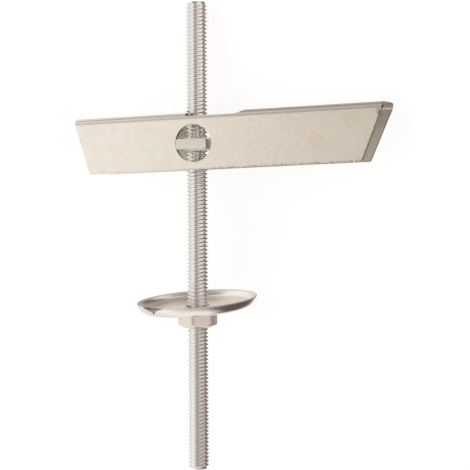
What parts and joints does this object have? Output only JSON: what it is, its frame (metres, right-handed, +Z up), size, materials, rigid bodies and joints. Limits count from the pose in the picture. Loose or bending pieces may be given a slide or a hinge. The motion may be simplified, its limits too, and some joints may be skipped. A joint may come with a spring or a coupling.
{
  "type": "gravity toggle anchor",
  "caption": "Threaded rod with a folded steel toggle wing that swings on a tapped bar, and a dished washer and hex nut that draw up against the board.",
  "frame": {"origin": "middle of the anchor's box, on the surface that it lies on", "axes": "+Z up as the anchor lies on its back, +Y along the rod from its nut to its wing, +X along the wing's long arm"},
  "size_m": [0.0586, 0.0854, 0.0222],
  "materials": {
    "rod_zinc": "bright zinc plate on a rolled thread",
    "bar_zinc": "plain zinc plate",
    "wing_zinc": "satin zinc plate on rolled sheet",
    "washer_zinc": "bright zinc plate on pressed sheet",
    "nut_zinc": "plain zinc plate"
  },
  "bodies": {
    "rod": {"threaded_rod": "rod_zinc"},
    "bar": {"pivot_bar": "bar_zinc"},
    "wing": {"toggle_wing": "wing_zinc"},
    "washer": {"cup_washer": "washer_zinc"},
    "nut": {"hex_nut": "nut_zinc"}
  },
  "joints": [
    {"name": "toggle_travel", "type": "slide", "parent": "rod", "child": "bar", "axis": [-0.0014, 0.986, -0.1665], "range_m": [-0.001, 0.022]},
    {"name": "wing_swing", "type": "hinge", "parent": "bar", "child": "wing", "pos_m": [-0.00576, 0.01694, 0.00615], "axis": [0.017, 0.1665, 0.9859], "range_deg": [-6.5, 51]},
    {"name": "washer_travel", "type": "slide", "parent": "rod", "child": "washer", "axis": [-0.0014, 0.986, -0.1665], "range_m": [-0.024, 0.0045]},
    {"name": "nut_turn", "type": "hinge", "parent": "washer", "child": "nut", "pos_m": [-0.00665, -0.0136, 0.01132], "axis": [-0.0014, 0.986, -0.1665], "range_deg": [-12346, 2318]}
  ],
  "couplings": [
    {"joint": "nut_turn", "follows": "washer_travel", "rad_per_m": 8976}
  ]
}
